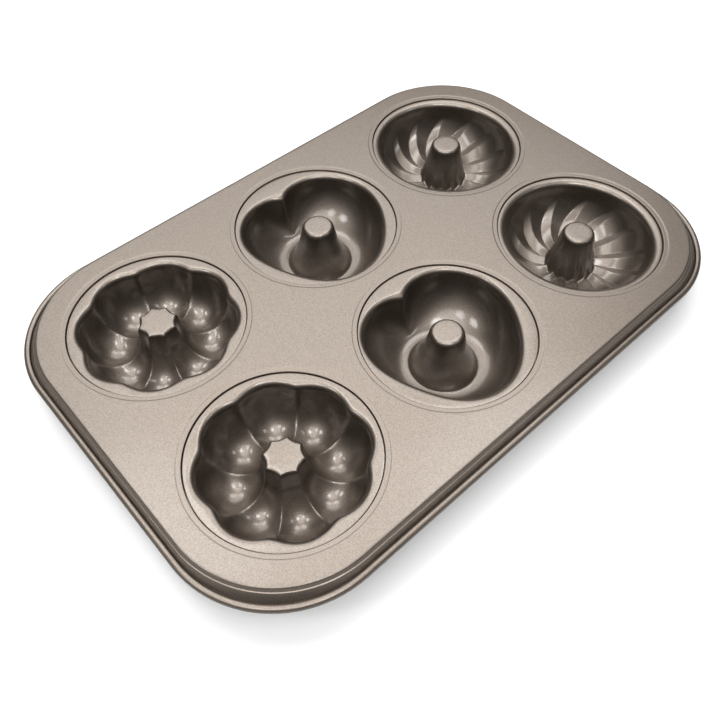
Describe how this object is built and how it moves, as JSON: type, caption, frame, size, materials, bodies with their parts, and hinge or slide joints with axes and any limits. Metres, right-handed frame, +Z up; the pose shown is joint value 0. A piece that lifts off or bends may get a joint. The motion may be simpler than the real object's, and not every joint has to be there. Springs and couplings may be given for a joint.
{
  "type": "doughnut pan",
  "caption": "Rolled-rim baking tray with ring-shaped cups crimped into it, in pumpkin, heart and spiral forms, each with a centre post, for baking ring cakes and doughnuts.",
  "frame": {"origin": "on the surface that the cups stand on, under the middle of the pan", "axes": "+X along the length from the pumpkin cups to the spiral cups, +Y across to the side that the hearts' clefts face, +Z up out of the cups"},
  "size_m": [0.3154, 0.2148, 0.027],
  "materials": {
    "frame_coating": "satin champagne-taupe non-stick coating with a fine metallic speckle, on carbon steel sheet",
    "cup_coating": "satin to glossy champagne-taupe non-stick coating with a fine metallic speckle, on carbon steel sheet",
    "wire_steel": "plain drawn steel wire"
  },
  "bodies": {
    "root": {"tray_frame": "frame_coating", "rim_wire": "wire_steel", "pumpkin_cup_front": "cup_coating", "pumpkin_cup_back": "cup_coating", "heart_cup_front": "cup_coating", "heart_cup_back": "cup_coating", "spiral_cup_front": "cup_coating", "spiral_cup_back": "cup_coating"}
  },
  "joints": []
}
